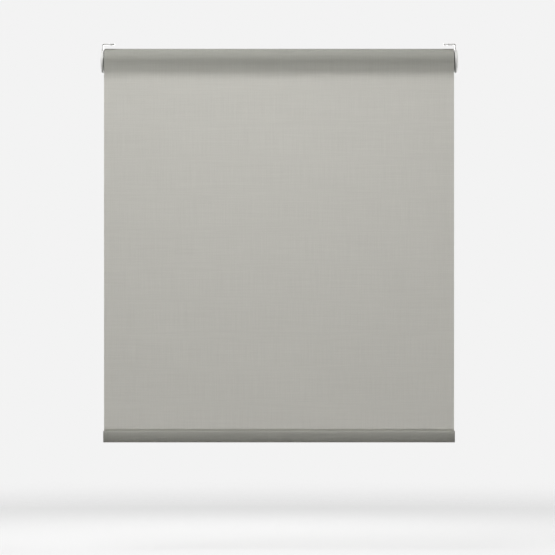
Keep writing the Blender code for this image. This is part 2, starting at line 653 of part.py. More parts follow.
# ---- the whole blind -----------------------------------------------------------------------------
def main():
    clear_scene()
    cloth = make_material("taupe_cloth", (0.49, 0.48, 0.44), 0.85)
    white_steel = make_material("white_powder_coat", (0.86, 0.86, 0.85), 0.45)
    white_plastic = make_material("white_plastic", (0.89, 0.89, 0.88), 0.35)
    grey_plastic = make_material("grey_plastic", (0.42, 0.42, 0.41), 0.5)
    aluminium = make_material("aluminium", (0.72, 0.73, 0.74), 0.35, 1.0)
    steel = make_material("bright_steel", (0.62, 0.62, 0.61), 0.3, 1.0)

    recess_head = make_empty("recess_head", (0, 0, 0))
    fixed_axis = make_empty("fixed_axis", (0, 0, -AXIS_DROP))
    roller_axis = make_empty("roller_axis", (0, 0, -AXIS_DROP))
    pin_axis = make_empty("pin_axis", (0, 0, -AXIS_DROP))
    hem_line = make_empty("hem_line", (0, HANG_Y, HEM_LOBE_Z))

    cut_bush_hole(build_bracket("pin_end_bracket", LEFT, white_steel, recess_head))
    cut_tongue_slot(build_bracket("spring_end_bracket", RIGHT, white_steel, recess_head))
    build_cover("pin_end_cover", LEFT, PIN_COVER_BULGE, white_plastic, fixed_axis)
    build_cover("spring_end_cover", RIGHT, SPRING_COVER_BULGE, white_plastic, fixed_axis)
    build_pin_bush(grey_plastic, fixed_axis)
    build_spindle(steel, fixed_axis)
    build_spring_rod(steel, fixed_axis)
    build_rod_clip(steel, fixed_axis)
    build_spring_anchor(grey_plastic, fixed_axis)
    build_lift_spring(steel, fixed_axis)
    build_brake_drum(steel, fixed_axis)

    build_tube(aluminium, roller_axis)
    build_cloth_spline(grey_plastic, roller_axis)
    build_cloth_roll(cloth, roller_axis)
    build_spring_end_plug(grey_plastic, roller_axis)
    build_pin_end_plug(grey_plastic, roller_axis)
    build_pin_spring_retainer(grey_plastic, roller_axis)
    build_spring_carrier(grey_plastic, roller_axis)
    build_brake_spring(steel, roller_axis)
    build_pin_spring(steel, roller_axis)

    build_pin(steel, pin_axis)

    build_hanging_cloth(cloth, hem_line)
    build_hem_pocket(cloth, hem_line)
    build_hem_bar(aluminium, hem_line)
    build_hem_cap("hem_cap_left", LEFT, grey_plastic, hem_line)
    build_hem_cap("hem_cap_right", RIGHT, grey_plastic, hem_line)


main()
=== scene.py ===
"""Roller blind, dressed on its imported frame. Its cloth comes off the room side of the roll."""

import math

import bmesh
import bpy
import numpy as np
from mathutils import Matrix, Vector


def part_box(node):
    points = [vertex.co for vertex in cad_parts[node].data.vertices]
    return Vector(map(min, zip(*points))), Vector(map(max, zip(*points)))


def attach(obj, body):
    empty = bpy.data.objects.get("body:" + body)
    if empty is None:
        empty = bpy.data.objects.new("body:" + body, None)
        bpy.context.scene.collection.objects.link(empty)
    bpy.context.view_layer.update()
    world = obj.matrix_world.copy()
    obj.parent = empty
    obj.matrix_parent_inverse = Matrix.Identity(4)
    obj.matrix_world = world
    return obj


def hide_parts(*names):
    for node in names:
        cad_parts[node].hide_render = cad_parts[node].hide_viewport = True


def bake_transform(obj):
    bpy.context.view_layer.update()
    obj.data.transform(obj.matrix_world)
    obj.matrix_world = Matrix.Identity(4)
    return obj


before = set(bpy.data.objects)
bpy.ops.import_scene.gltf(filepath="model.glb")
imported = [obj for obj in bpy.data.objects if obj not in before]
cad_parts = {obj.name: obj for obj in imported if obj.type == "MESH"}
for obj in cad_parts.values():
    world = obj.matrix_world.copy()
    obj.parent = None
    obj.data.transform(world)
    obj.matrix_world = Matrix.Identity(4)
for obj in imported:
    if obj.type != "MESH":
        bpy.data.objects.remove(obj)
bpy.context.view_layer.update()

MM = 0.001
HAIR = 0.02 * MM  # keeps two faces from falling together
WHITE = (1, 1, 1, 1)


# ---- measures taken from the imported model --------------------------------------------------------
roll_low, roll_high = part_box("cloth_roll")
sheet_low, sheet_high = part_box("hanging_cloth")
hem_low, hem_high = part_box("hem_pocket")
bar_low, bar_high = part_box("hem_bar")

AXIS_Z = (roll_low.z + roll_high.z) / 2
CLOTH_END = roll_high.x
CLOTH_Y = (sheet_low.y + sheet_high.y) / 2
WRAP_RADIUS = -CLOTH_Y
CLOTH_THICK = sheet_high.y - sheet_low.y
ROLL_RADIUS = roll_high.z - AXIS_Z
tube_low, tube_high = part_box("roller_tube")
TUBE_RADIUS = (tube_high.z - tube_low.z) / 2
HEM_TOP, HEM_BOTTOM = hem_high.z, hem_low.z
LOBE_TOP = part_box("hem_cap_left")[1].z
LOBE_HALF = (hem_high.y - hem_low.y) / 2
BAR_INSET = LOBE_HALF - (bar_high.y - bar_low.y) / 2


# ---- small tools ---------------------------------------------------------------------------------
def linear(code):
    """An sRGB hex colour as linear RGBA."""
    values = [int(code[at : at + 2], 16) / 255 for at in (1, 3, 5)]
    return (*[v / 12.92 if v <= 0.04045 else ((v + 0.055) / 1.055) ** 2.4 for v in values], 1.0)


def add_node(tree, kind, links=None, inputs=None, **settings):
    """A node with its settings, fixed inputs and links, each link as input: socket it comes from."""
    node = tree.nodes.new(kind)
    for key, value in settings.items():
        setattr(node, key, value)
    for key, value in (inputs or {}).items():
        node.inputs[key].default_value = value
    for key, source in (links or {}).items():
        tree.links.new(source, node.inputs[key])
    return node


def new_material(name):
    """A material with its Principled shader, and the tree both are in."""
    material = bpy.data.materials.new(name)
    material.use_nodes = True
    tree = material.node_tree
    return material, tree, tree.nodes["Principled BSDF"]


def dress(piece, material, body):
    """Gives a finished piece its material and the body it rides on."""
    piece.data.materials.clear()
    piece.data.materials.append(material)
    if body is not None:
        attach(piece, body)


def object_of(name, bm, smooth=True):
    mesh = bpy.data.meshes.new(name)
    bm.to_mesh(mesh)
    bm.free()
    piece = bpy.data.objects.new(name, mesh)
    bpy.context.scene.collection.objects.link(piece)
    if smooth:
        mesh.shade_smooth()
    return piece


def settle(piece, sharp_over):
    """Applies every modifier, so that the piece is a plain mesh, and keeps edges over an angle sharp."""
    graph = bpy.context.evaluated_depsgraph_get()
    evaluated = piece.evaluated_get(graph)
    mesh = bpy.data.meshes.new_from_object(evaluated, preserve_all_data_layers=True, depsgraph=graph)
    piece.modifiers.clear()
    old = piece.data
    piece.data = mesh
    bpy.data.meshes.remove(old)
    mesh.name = piece.name
    mesh.shade_smooth()
    mesh.set_sharp_from_angle(angle=math.radians(sharp_over))


# ---- materials -----------------------------------------------------------------------------------
YARN_WIDTH = 1.6 * MM  # a thick or pale yarn shows as a streak this wide
YARN_STREAK = 70 * MM  # and this long
WEAVE_PITCH = 1.1 * MM
WEAVE_SHARE = 0.35  # of the even weave against the uneven yarns
WEAVE_HEIGHT = 0.15 * MM
FLOW_MOTTLE = 9 * MM  # patches that the plastic's flow into its mould leaves
ORANGE_PEEL = 1.2 * MM  # waves of a powder coat


def threads(tree, coordinates, across, along, seed):
    """Streaks along one direction of the cloth, as uneven yarns make."""
    scaled = add_node(
        tree,
        "ShaderNodeMapping",
        links={"Vector": coordinates},
        inputs={"Location": (seed, seed * 1.7, seed * 0.3), "Scale": (1 / across, 1 / along, 1)},
    )
    noise = add_node(
        tree,
        "ShaderNodeTexNoise",
        links={"Vector": scaled.outputs[0]},
        inputs={"Scale": 1.0, "Detail": 2.0, "Roughness": 0.55},
    )
    return noise.outputs["Fac"]


def make_cloth(name, dark, light, let_through):
    """Woven light-filtering polyester: dull, even, a warm grey. Yarns differ a little in width and shade.

    let_through is the share of light that each face of the cloth passes on. The colour it takes on is nearly
    white, because the light crosses two faces.

    The threads of such cloth are about 0.5 mm apart. They are drawn about twice as coarse, so that they
    still read as a weave when the whole blind is in view.
    """
    material, tree, surface = new_material(name)
    uv = add_node(tree, "ShaderNodeUVMap", uv_map="cloth").outputs[0]
    warp = threads(tree, uv, YARN_WIDTH, YARN_STREAK, 3.1)
    weft = threads(tree, uv, YARN_STREAK, YARN_WIDTH, 8.4)
    streaks = add_node(tree, "ShaderNodeMath", links={0: warp, 1: weft}, operation="ADD").outputs[0]
    pitch = {"Scale": (1 / WEAVE_PITCH, 1 / WEAVE_PITCH, 1)}
    counted = add_node(tree, "ShaderNodeMapping", links={"Vector": uv}, inputs=pitch)
    split = add_node(tree, "ShaderNodeSeparateXYZ", links={0: counted.outputs[0]})
    over = []
    for axis in (0, 1):
        full_turns = {0: split.outputs[axis]}
        turn = add_node(tree, "ShaderNodeMath", links=full_turns, inputs={1: math.tau}, operation="MULTIPLY")
        over.append(add_node(tree, "ShaderNodeMath", links={0: turn.outputs[0]}, operation="SINE").outputs[0])
    weave = add_node(tree, "ShaderNodeMath", links={0: over[0], 1: over[1]}, operation="MULTIPLY").outputs[0]
    raised = add_node(
        tree,
        "ShaderNodeMath",
        links={0: weave, 2: streaks},
        inputs={1: WEAVE_SHARE},
        operation="MULTIPLY_ADD",
    ).outputs[0]
    shade = add_node(
        tree,
        "ShaderNodeMapRange",
        links={"Value": raised},
        inputs={"From Min": 0.4, "From Max": 1.6},
    ).outputs[0]
    bump = add_node(
        tree,
        "ShaderNodeBump",
        links={"Height": raised},
        inputs={"Strength": 0.5, "Distance": WEAVE_HEIGHT},
    )
    colours = {6: linear(dark), 7: linear(light)}
    colour = add_node(tree, "ShaderNodeMix", links={0: shade}, inputs=colours, data_type="RGBA")
    tree.links.new(colour.outputs[2], surface.inputs["Base Color"])
    tree.links.new(bump.outputs[0], surface.inputs["Normal"])
    surface.inputs["Roughness"].default_value = 0.9
    surface.inputs["Specular IOR Level"].default_value = 0.25
    surface.inputs["Sheen Weight"].default_value = 0.15
    surface.inputs["Sheen Roughness"].default_value = 0.5
    if let_through > 0:
        tints = {6: linear("#f8f6f3"), 7: linear("#fffdfa")}
        tint = add_node(tree, "ShaderNodeMix", links={0: shade}, inputs=tints, data_type="RGBA").outputs[2]
        glow = add_node(tree, "ShaderNodeBsdfTranslucent", links={"Color": tint, "Normal": bump.outputs[0]})
        shaders = {1: surface.outputs[0], 2: glow.outputs[0]}
        both = add_node(tree, "ShaderNodeMixShader", links=shaders, inputs={0: let_through})
        tree.links.new(both.outputs[0], tree.nodes["Material Output"].inputs["Surface"])
    return material


def tone_and_bump(tree, surface, code, tone_pattern, darkest, height_pattern, strength, depth):
    """One colour that a pattern darkens down to a share of itself, on a surface that a pattern raises."""
    tone = add_node(
        tree,
        "ShaderNodeMapRange",
        links={"Value": tone_pattern},
        inputs={"To Min": darkest, "To Max": 1.0},
    )
    colour = add_node(
        tree,
        "ShaderNodeVectorMath",
        links={1: tone.outputs[0]},
        inputs={0: linear(code)[:3]},
        operation="MULTIPLY",
    )
    bump = add_node(
        tree,
        "ShaderNodeBump",
        links={"Height": height_pattern},
        inputs={"Strength": strength, "Distance": depth},
    )
    tree.links.new(colour.outputs[0], surface.inputs["Base Color"])
    tree.links.new(bump.outputs[0], surface.inputs["Normal"])


def vary_roughness(tree, surface, pattern, low, high):
    limits = {"To Min": low, "To Max": high}
    rough = add_node(tree, "ShaderNodeMapRange", links={"Value": pattern}, inputs=limits)
    tree.links.new(rough.outputs[0], surface.inputs["Roughness"])


def make_plastic(name, code, roughness, grain, bump_depth):
    """Moulded thermoplastic: one colour, a faint flow mottle, and the fine spark grain of its mould."""
    material, tree, surface = new_material(name)
    place = add_node(tree, "ShaderNodeTexCoord").outputs["Object"]
    flow = {"Scale": 1 / FLOW_MOTTLE, "Detail": 2.0}
    mottle = add_node(tree, "ShaderNodeTexNoise", links={"Vector": place}, inputs=flow).outputs["Fac"]
    sparks = {"Scale": 1 / grain, "Detail": 1.0}
    fine = add_node(tree, "ShaderNodeTexNoise", links={"Vector": place}, inputs=sparks).outputs["Fac"]
    tone_and_bump(tree, surface, code, mottle, 0.97, fine, 0.2, bump_depth)
    vary_roughness(tree, surface, fine, roughness - 0.05, roughness + 0.07)
    surface.inputs["IOR"].default_value = 1.53
    return material


def make_powder_coat(name, code):
    """Satin powder coat on pressed steel: slight orange peel about a millimetre across."""
    material, tree, surface = new_material(name)
    place = add_node(tree, "ShaderNodeTexCoord").outputs["Object"]
    orange = {"Scale": 1 / ORANGE_PEEL, "Detail": 1.5}
    peel = add_node(tree, "ShaderNodeTexNoise", links={"Vector": place}, inputs=orange).outputs["Fac"]
    tone_and_bump(tree, surface, code, peel, 0.96, peel, 0.25, 0.05 * MM)
    surface.inputs["Roughness"].default_value = 0.38
    surface.inputs["Coat Weight"].default_value = 0.2
    surface.inputs["Coat Roughness"].default_value = 0.25
    return material


def make_metal(name, code, roughness, line_length, line_width):
    """Bare metal with the fine lines that its making left, along X as it was drawn or extruded."""
    material, tree, surface = new_material(name)
    place = add_node(tree, "ShaderNodeTexCoord").outputs["Object"]
    stretch = {"Scale": (1 / line_length, 1 / line_width, 1 / line_width)}
    scaled = add_node(tree, "ShaderNodeMapping", links={"Vector": place}, inputs=stretch)
    fineness = {"Scale": 1.0, "Detail": 3.0}
    vector = {"Vector": scaled.outputs[0]}
    lines = add_node(tree, "ShaderNodeTexNoise", links=vector, inputs=fineness).outputs["Fac"]
    tone_and_bump(tree, surface, code, lines, 0.9, lines, 0.15, 0.02 * MM)
    vary_roughness(tree, surface, lines, roughness - 0.08, roughness + 0.12)
    surface.inputs["Metallic"].default_value = 1.0
    return material


# Cloth in one layer: dull, and it glows a little where daylight is behind it.
polyester_single = make_cloth("light_filtering_polyester", "#c1c2bb", "#d4d5ce", 0.5)
# The same cloth with other turns behind it: nothing shines through, so it looks darker.
polyester_backed = make_cloth("wound_polyester", "#a6a7a0", "#b6b7b0", 0.0)
# Acetal covers: bright white, with a soft gloss that shows how the dome is curved.
white_acetal = make_plastic("white_moulded_acetal", "#f4f4f1", 0.3, 0.5 * MM, 0.02 * MM)
# Nylon plugs and caps: dull mid grey.
grey_nylon = make_plastic("grey_moulded_nylon", "#8b8a84", 0.5, 0.4 * MM, 0.04 * MM)
# Pressed steel brackets: satin white.
white_coat = make_powder_coat("white_powder_coated_steel", "#eeeeec")
# Tube and hem bar: pale metal with long lines from the die.
mill_aluminium = make_metal("extruded_mill_aluminium", "#d9dadb", 0.34, 90 * MM, 0.4 * MM)
# Spindle, rod, pin and springs: darker metal with shorter lines.
drawn_steel = make_metal("drawn_steel", "#c8c8c6", 0.3, 12 * MM, 0.3 * MM)


# ---- cloth ---------------------------------------------------------------------------------------
WRAP_END = math.radians(344)  # the outer turn stops just short of its own hanging part
CURL = 1.1 * MM  # how far the side edges turn towards the room half-way down
CURL_FROM = 0.86  # share of the half width at which they start to turn
RIPPLE = 0.35 * MM
RIPPLE_WAVES = 2.5  # across each half of the cloth
TUCK = 1.5 * MM  # how far the cloth goes down into the weld band
HANG_STEPS = 120
TURN_STEPS = 110
CLOTH_COLUMNS = 120
SHEET_SHARE = 0.9  # of the CAD solid's thickness, so that the sheet stays inside it
WOUND_SHARE = 0.84  # of it, so that the turns of the spiral stay apart
TURN_SHARE = 0.96  # of it, about, from one turn to the next
SPIRAL_GAP = 0.3 * MM  # between the tube and the first turn
SPIRAL_START = math.radians(200)
SPIRAL_STEPS = 96  # in each turn


def cloth_row():
    """The cloth from the hem up its face and round the roll: (y, z, length so far, share of hang)."""
    rows = []
    bottom, top = HEM_TOP - TUCK, AXIS_Z
    for step in range(HANG_STEPS + 1):
        z = bottom + (top - bottom) * step / HANG_STEPS
        rows.append((CLOTH_Y, z, z - bottom, (top - z) / (top - bottom)))
    for step in range(1, TURN_STEPS + 1):
        turn = WRAP_END * step / TURN_STEPS
        y, z = -WRAP_RADIUS * math.cos(turn), AXIS_Z + WRAP_RADIUS * math.sin(turn)
        rows.append((y, z, top - bottom + WRAP_RADIUS * turn, 0.0))
    return rows


def spread(count):
    """Places across the cloth, from its left edge to its right edge."""
    return [-CLOTH_END + 2 * CLOTH_END * step / count for step in range(count + 1)]


def lay_grid(bm, rows, columns, along_x):
    """Quads between rows and columns, with a map called cloth in metres across and along the cloth."""
    uv = bm.loops.layers.uv.new("cloth")
    grid = [[bm.verts.new(point) for point in row] for row in rows]
    for r in range(len(rows) - 1):
        for c in range(len(rows[0]) - 1):
            face = bm.faces.new((grid[r][c], grid[r][c + 1], grid[r + 1][c + 1], grid[r + 1][c]))
            corners = ((r, c), (r, c + 1), (r + 1, c + 1), (r + 1, c))
            for loop, (row, column) in zip(face.loops, corners):
                loop[uv].uv = (along_x[column], columns[row])


def blend_evenly(piece, first, second, start, end, on_roll=None):
    """Bakes the piece's transform and works out each point's share of the way from start to end, which
    nothing uses.

    The bodies first and second are not used. Points behind the plane y = on_roll get a share of nought.
    """
    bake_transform(piece)
    points = np.empty(len(piece.data.vertices) * 3, np.float32)
    piece.data.vertices.foreach_get("co", points)
    points = points.reshape(-1, 3)
    line = np.array(end) - np.array(start)
    share = np.clip((points - np.array(start)) @ line / (line @ line), 0, 1)
    if on_roll is not None:
        share[points[:, 1] > on_roll] = 0


def give_thickness(piece, thickness):
    """Makes a surface a sheet, half its thickness to each side."""
    thicken = piece.modifiers.new("thickness", "SOLIDIFY")
    thicken.thickness = thickness
    thicken.offset = 0.0
    settle(piece, 60)


def build_sheet():
    profile = cloth_row()
    across = spread(CLOTH_COLUMNS)
    rows = []
    for y, z, _, hang in profile:
        free = math.sin(math.pi * hang)
        row = []
        for x in across:
            share = abs(x) / CLOTH_END
            curl = CURL * max(0.0, (share - CURL_FROM) / (1 - CURL_FROM)) ** 2 * free ** 0.7
            ripple = RIPPLE * (1 - math.sin(math.tau * RIPPLE_WAVES * x / CLOTH_END)) * free ** 1.5
            row.append((x, y - curl - ripple, z))
        rows.append(row)
    bm = bmesh.new()
    lay_grid(bm, rows, [length for _, _, length, _ in profile], across)
    sheet = object_of("hanging_cloth_sheet", bm)
    give_thickness(sheet, CLOTH_THICK * SHEET_SHARE)
    flat = (2 * CLOTH_END, profile[-1][2])
    dress(sheet, polyester_single, None)
    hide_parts("hanging_cloth")
    top, bottom = (0, CLOTH_Y, AXIS_Z), (0, CLOTH_Y, HEM_TOP)
    blend_evenly(sheet, "fixings", "hem", top, bottom, on_roll=CLOTH_Y + CLOTH_THICK)
    return sheet, flat


def lengths_along(line):
    """The length of a line up to each of its points."""
    return np.concatenate([[0], np.cumsum(np.linalg.norm(np.diff(line, axis=0), axis=1))])


def strip_round(points, half):
    """Both sides of a strip of cloth that follows points (y, z), and the length up to each point."""
    line = np.array(points)
    tangent = np.gradient(line, axis=0)
    normal = np.stack([tangent[:, 1], -tangent[:, 0]], axis=1)
    normal /= np.linalg.norm(normal, axis=1)[:, None]
    return line + normal * half, line - normal * half, lengths_along(line)


def build_wound_cloth():
    """The inner turns on the tube, as one long spiral whose edge shows at each end."""
    half = CLOTH_THICK * WOUND_SHARE / 2
    outer, inner = ROLL_RADIUS - half - HAIR, TUBE_RADIUS + SPIRAL_GAP + half
    turns = round((outer - inner) / (CLOTH_THICK * TURN_SHARE))
    steps = turns * SPIRAL_STEPS
    points = []
    for step in range(steps + 1):
        turn = SPIRAL_START + math.tau * turns * step / steps
        radius = inner + (outer - inner) * step / steps
        points.append((-radius * math.cos(turn), AXIS_Z + radius * math.sin(turn)))
    left, right, lengths = strip_round(points, half)
    bm = bmesh.new()
    uv = bm.loops.layers.uv.new("cloth")
    ends = []
    for x in (-CLOTH_END, CLOTH_END):
        ends.append([[bm.verts.new((x, y, z)) for y, z in side] for side in (left, right)])
    (left_low, right_low), (left_high, right_high) = ends

    def face(corners, at):
        made = bm.faces.new(corners)
        for loop, length in zip(made.loops, at):
            loop[uv].uv = (loop.vert.co.x, length)

    for i in range(len(points) - 1):
        near, far = lengths[i], lengths[i + 1]
        face((left_low[i], left_low[i + 1], left_high[i + 1], left_high[i]), (near, far, far, near))
        face((right_low[i], right_high[i], right_high[i + 1], right_low[i + 1]), (near, near, far, far))
        face((left_low[i], right_low[i], right_low[i + 1], left_low[i + 1]), (near, near, far, far))
        face((left_high[i], left_high[i + 1], right_high[i + 1], right_high[i]), (near, far, far, near))
    for i in (0, len(points) - 1):
        face((left_low[i], left_high[i], right_high[i], right_low[i]), (lengths[i],) * 4)
    bmesh.ops.recalc_face_normals(bm, faces=bm.faces)
    wound = object_of("wound_cloth_spiral", bm)
    wound.data.set_sharp_from_angle(angle=math.radians(50))
    dress(wound, polyester_backed, "roller")
    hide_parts("cloth_roll")
    return wound, (2 * CLOTH_END, float(lengths[-1]))


# ---- hem -----------------------------------------------------------------------------------------
WELD_HALF = 0.58 * MM  # half the thickness of the weld band
POCKET_WALL = 0.55 * MM
LOBE_POINTS = 72
POCKET_POINTS = 150
POCKET_COLUMNS = 60
MOUTH_DEPTH = 2.2 * MM  # where the oval opens into the weld band
MOUTH_HALF = 1.1 * MM
CAP_ROUND = 0.35 * MM
CAP_GAP = 0.3 * MM
SPIGOT_LEAD = 1 * MM
SPIGOT_TAPER = 0.6 * MM
BAR_CHAMFER = 0.4 * MM


def lobe_outline(inset):
    """The oval part of the pocket that holds the bar, brought in by inset, as points (y, z)."""
    middle = (LOBE_TOP + HEM_BOTTOM) / 2
    half_height = (LOBE_TOP - HEM_BOTTOM) / 2 - inset
    half_width = LOBE_HALF - inset
    turns = [(step + 0.5) / LOBE_POINTS * math.tau for step in range(LOBE_POINTS)]
    return [(CLOTH_Y + half_width * math.sin(turn), middle + half_height * math.cos(turn)) for turn in turns]


def pocket_path():
    """Middle of the pocket's cloth: down the front from the weld band, round the bar, and up the back."""
    kept = [
        (y, z)
        for y, z in lobe_outline(POCKET_WALL / 2)
        if z <= LOBE_TOP - MOUTH_DEPTH or abs(y - CLOTH_Y) >= MOUTH_HALF
    ]
    lip = WELD_HALF / 2 + HAIR
    rise = [(CLOTH_Y + lip, LOBE_TOP + (HEM_TOP - LOBE_TOP) * share) for share in (1.0, 0.66, 0.33, 0.0)]
    fall = [(CLOTH_Y - lip, z) for _, z in reversed(rise)]
    return rise + kept + fall


def build_pocket():
    line = np.array(pocket_path())
    lengths = lengths_along(line)
    at = np.linspace(0, 1, POCKET_POINTS) * lengths[-1]
    smooth_line = np.stack([np.interp(at, lengths, line[:, k]) for k in (0, 1)], axis=1)
    for _ in range(3):
        smooth_line[1:-1] = (smooth_line[:-2] + 2 * smooth_line[1:-1] + smooth_line[2:]) / 4
    across = spread(POCKET_COLUMNS)
    bm = bmesh.new()
    lay_grid(bm, [[(x, y, z) for x in across] for y, z in smooth_line], list(at), across)
    pocket = object_of("welded_hem_pocket", bm)
    give_thickness(pocket, POCKET_WALL)
    dress(pocket, polyester_single, "hem")
    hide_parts("hem_pocket")
    return pocket, (2 * CLOTH_END, float(lengths[-1]))


def loft(name, loops, material, body, node):
    """A closed solid through loops of 3D points, capped at both ends."""
    bm = bmesh.new()
    rows = [[bm.verts.new(point) for point in loop] for loop in loops]
    bm.faces.new(rows[0])
    bm.faces.new(rows[-1])
    for first, second in zip(rows, rows[1:]):
        for at in range(len(first)):
            after = (at + 1) % len(first)
            bm.faces.new((first[at], first[after], second[after], second[at]))
    bmesh.ops.recalc_face_normals(bm, faces=bm.faces)
    piece = object_of(name, bm)
    piece.data.set_sharp_from_angle(angle=math.radians(35))
    dress(piece, material, body)
    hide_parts(node)


def build_hem_cap(side, node):
    low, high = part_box(node)
    outer_x = high.x if side > 0 else -low.x
    flange_x = CLOTH_END + CAP_GAP
    spigot_x = -high.x if side < 0 else low.x
    steps = [
        (outer_x, CAP_ROUND),
        (outer_x - CAP_ROUND * 0.3, CAP_ROUND * 0.3),
        (outer_x - CAP_ROUND, 0.0),
        (flange_x, 0.0),
        (flange_x, BAR_INSET),
        (spigot_x + SPIGOT_LEAD, BAR_INSET),
        (spigot_x, BAR_INSET + SPIGOT_TAPER),
    ]
    loops = [[(side * x, y, z) for y, z in lobe_outline(inset)] for x, inset in steps]
    loft(f"{node}_moulded", loops, grey_nylon, "hem", node)


def build_hem_bar():
    end = bar_high.x
    steps = [
        (-end, BAR_INSET + BAR_CHAMFER),
        (-end + BAR_CHAMFER, BAR_INSET),
        (end - BAR_CHAMFER, BAR_INSET),
        (end, BAR_INSET + BAR_CHAMFER),
    ]
    loops = [[(x, y, z) for y, z in lobe_outline(inset)] for x, inset in steps]
    loft("extruded_hem_bar", loops, mill_aluminium, "hem", "hem_bar")


# ---- end covers ----------------------------------------------------------------------------------
COVER_WALL = 1.2 * MM
COVER_RIM = 2.5 * MM
COVER_LIP = 0.25 * MM  # rounding of the open edge
DOME_STEPS = 24
COVER_STEPS = 128
NECK_SLOT_HALF = 12.3 * MM
NECK_SLOT_DEPTH = 2.2 * MM
RING_GROOVE = 0.6 * MM  # width and depth of the shadow line between the rim and the dome
GROOVE_EDGE = 0.1 * MM


def dome(start, bulge, radius):
    """The quarter of an oval from the rim to the axis, as points (x, radius)."""
    turns = [math.radians(90) * step / DOME_STEPS for step in range(DOME_STEPS + 1)]
    return [(start + bulge * math.sin(turn), radius * math.cos(turn)) for turn in turns]


def cover_profile(face, peak, radius):
    """Points (x, radius) from the dome's middle over the rim and lip, and back inside to the middle."""
    dome_x = face + COVER_RIM
    bulge = peak - face - COVER_RIM
    groove_x = dome_x - RING_GROOVE
    outer = [
        (groove_x, radius),
        (groove_x + GROOVE_EDGE, radius - GROOVE_EDGE),
        (groove_x + GROOVE_EDGE, radius - RING_GROOVE),
        (dome_x - GROOVE_EDGE, radius - RING_GROOVE),
        (dome_x - GROOVE_EDGE, radius - GROOVE_EDGE),
    ]
    outer += dome(dome_x, bulge, radius)
    lip = [
        (face + COVER_LIP, radius),
        (face + COVER_LIP * 0.3, radius - COVER_LIP * 0.3),
        (face, radius - COVER_LIP),
        (face, radius - COVER_WALL + COVER_LIP),
        (face + COVER_LIP, radius - COVER_WALL),
    ]
    return outer[::-1] + lip + dome(dome_x, bulge - COVER_WALL, radius - COVER_WALL)


def lathe(side, profile):
    """A closed shell from a profile turned about the roll's axis. Points on the axis become its poles."""
    bm = bmesh.new()
    turns = [math.tau * step / COVER_STEPS for step in range(COVER_STEPS)]
    rows = []
    for x, radius in profile:
        if radius < 0.001 * MM:
            rows.append([bm.verts.new((side * x, 0, AXIS_Z))])
            continue
        ring = [(side * x, radius * math.sin(turn), AXIS_Z + radius * math.cos(turn)) for turn in turns]
        rows.append([bm.verts.new(point) for point in ring])
    for first, second in zip(rows, rows[1:]):
        for at in range(COVER_STEPS):
            after = (at + 1) % COVER_STEPS
            if len(first) == 1:
                bm.faces.new((first[0], second[after], second[at]))
            elif len(second) == 1:
                bm.faces.new((first[at], first[after], second[0]))
            else:
                bm.faces.new((first[at], first[after], second[after], second[at]))
    bmesh.ops.recalc_face_normals(bm, faces=bm.faces)
    return bm


def build_cover(side, node):
    """A thin turned shell: straight rim, ring groove, shallow dome, and a slot in its rim for the neck."""
    low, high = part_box(node)
    face, peak = (low.x, high.x) if side > 0 else (-high.x, -low.x)
    radius = (high.z - low.z) / 2
    cover = object_of(f"{node}_shell", lathe(side, cover_profile(face, peak, radius)))
    # The cutter reaches from half-way out to just past the rim.
    cut = bmesh.new()
    bmesh.ops.create_cube(cut, size=1.0)
    for vert in cut.verts:
        x = face - 1 * MM if vert.co.x < 0 else face + NECK_SLOT_DEPTH
        z = AXIS_Z + radius * (0.5 if vert.co.z < 0 else 1.1)
        vert.co = (side * x, math.copysign(NECK_SLOT_HALF, vert.co.y), z)
    bmesh.ops.recalc_face_normals(cut, faces=cut.faces)
    cutter = object_of(f"{node}_neck_slot", cut, smooth=False)
    notch = cover.modifiers.new("neck_slot", "BOOLEAN")
    notch.operation, notch.object, notch.solver = "DIFFERENCE", cutter, "EXACT"
    settle(cover, 32)
    bpy.data.objects.remove(cutter)
    dress(cover, white_acetal, "fixings")
    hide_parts(node)


# ---- brackets ------------------------------------------------------------------------------------
MERGE_WITHIN = 0.005 * MM
FLAT_WITHIN = math.radians(1.5)
BROKEN_EDGE = 0.22 * MM


def build_bracket(node):
    """The pressed bracket with its edges broken, as tumbling and powder coat leave them."""
    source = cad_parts[node]
    bm = bmesh.new()
    bm.from_mesh(source.data)
    bmesh.ops.remove_doubles(bm, verts=bm.verts, dist=MERGE_WITHIN)
    bmesh.ops.dissolve_limit(bm, angle_limit=FLAT_WITHIN, verts=bm.verts, edges=bm.edges)
    bracket = object_of(f"{node}_pressing", bm)
    edge = bracket.modifiers.new("broken_edge", "BEVEL")
    edge.width = BROKEN_EDGE
    edge.segments = 2
    edge.limit_method = "ANGLE"
    edge.angle_limit = math.radians(40)
    settle(bracket, 40)
    dress(bracket, white_coat, "fixings")
    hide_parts(node)


# ---- springs -------------------------------------------------------------------------------------
WIRE_SIDES = 10
POINTS_PER_TURN = 36
LIFT_TURNS, LIFT_WIRE = 30, 0.8 * MM  # turns and wire radius
BRAKE_TURNS, BRAKE_WIRE = 5, 0.6 * MM
PIN_TURNS, PIN_WIRE = 7, 0.35 * MM
BRAKE_TAIL = 4 * MM  # stretch of the brake spring's box that only its bent tail fills


